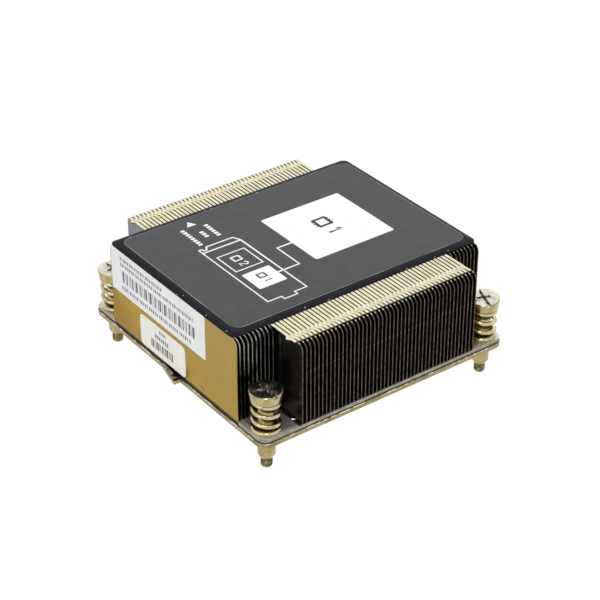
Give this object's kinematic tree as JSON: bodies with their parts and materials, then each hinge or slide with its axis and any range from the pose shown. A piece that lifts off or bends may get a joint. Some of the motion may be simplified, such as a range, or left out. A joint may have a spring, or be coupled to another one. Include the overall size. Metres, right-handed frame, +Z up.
{
  "type": "passive server cpu heatsink",
  "caption": "Low passive processor heatsink: a flat two-shell base, a stack of folded sheet fins under a printed cover pad, and sprung captive screws at the corners.",
  "frame": {"origin": "centre of the raised contact face under the base", "axes": "+Z up, away from the processor; X across the fins, with the stickers on the -X side; Y along the fins"},
  "size_m": [0.0919, 0.09, 0.0411],
  "materials": {
    "base_metal": "satin",
    "fin_metal": "satin",
    "screw_steel": "gloss",
    "clip_steel": "satin",
    "spring_steel": "gloss",
    "pad": "matte",
    "film": "satin",
    "sticker_paper": "matte"
  },
  "bodies": {
    "heatsink": {"chamber_lower_shell": "base_metal", "chamber_upper_shell": "base_metal", "fill_tube": "base_metal", "end_plate": "fin_metal", "short_fins_left": "fin_metal", "long_fins": "fin_metal", "short_fins_right": "fin_metal", "cover_pad": "pad", "cover_film": "film", "large_sticker": "sticker_paper", "small_sticker": "sticker_paper", "spring_front_left": "spring_steel", "spring_front_right": "spring_steel", "spring_back_left": "spring_steel", "spring_back_right": "spring_steel"},
    "clip_front_left": {"clip_front_left": "clip_steel"},
    "screw_front_left": {"screw_front_left": "screw_steel"},
    "clip_front_right": {"clip_front_right": "clip_steel"},
    "screw_front_right": {"screw_front_right": "screw_steel"},
    "clip_back_left": {"clip_back_left": "clip_steel"},
    "screw_back_left": {"screw_back_left": "screw_steel"},
    "clip_back_right": {"clip_back_right": "clip_steel"},
    "screw_back_right": {"screw_back_right": "screw_steel"}
  },
  "joints": [
    {"name": "screw_press_front_left", "type": "slide", "parent": "heatsink", "child": "clip_front_left", "axis": [0, 0, -1], "range_m": [0, 0.003], "stiffness_N_per_m": 17000, "deforming": ["spring_front_left"]},
    {"name": "screw_turn_front_left", "type": "hinge", "parent": "clip_front_left", "child": "screw_front_left", "pos_m": [-0.04, -0.04, 0], "axis": [0, 0, 1], "continuous": true},
    {"name": "screw_press_front_right", "type": "slide", "parent": "heatsink", "child": "clip_front_right", "axis": [0, 0, -1], "range_m": [0, 0.003], "stiffness_N_per_m": 17000, "deforming": ["spring_front_right"]},
    {"name": "screw_turn_front_right", "type": "hinge", "parent": "clip_front_right", "child": "screw_front_right", "pos_m": [0.04, -0.04, 0], "axis": [0, 0, 1], "continuous": true},
    {"name": "screw_press_back_left", "type": "slide", "parent": "heatsink", "child": "clip_back_left", "axis": [0, 0, -1], "range_m": [0, 0.003], "stiffness_N_per_m": 17000, "deforming": ["spring_back_left"]},
    {"name": "screw_turn_back_left", "type": "hinge", "parent": "clip_back_left", "child": "screw_back_left", "pos_m": [-0.04, 0.04, 0], "axis": [0, 0, 1], "continuous": true},
    {"name": "screw_press_back_right", "type": "slide", "parent": "heatsink", "child": "clip_back_right", "axis": [0, 0, -1], "range_m": [0, 0.003], "stiffness_N_per_m": 17000, "deforming": ["spring_back_right"]},
    {"name": "screw_turn_back_right", "type": "hinge", "parent": "clip_back_right", "child": "screw_back_right", "pos_m": [0.04, 0.04, 0], "axis": [0, 0, 1], "continuous": true}
  ]
}
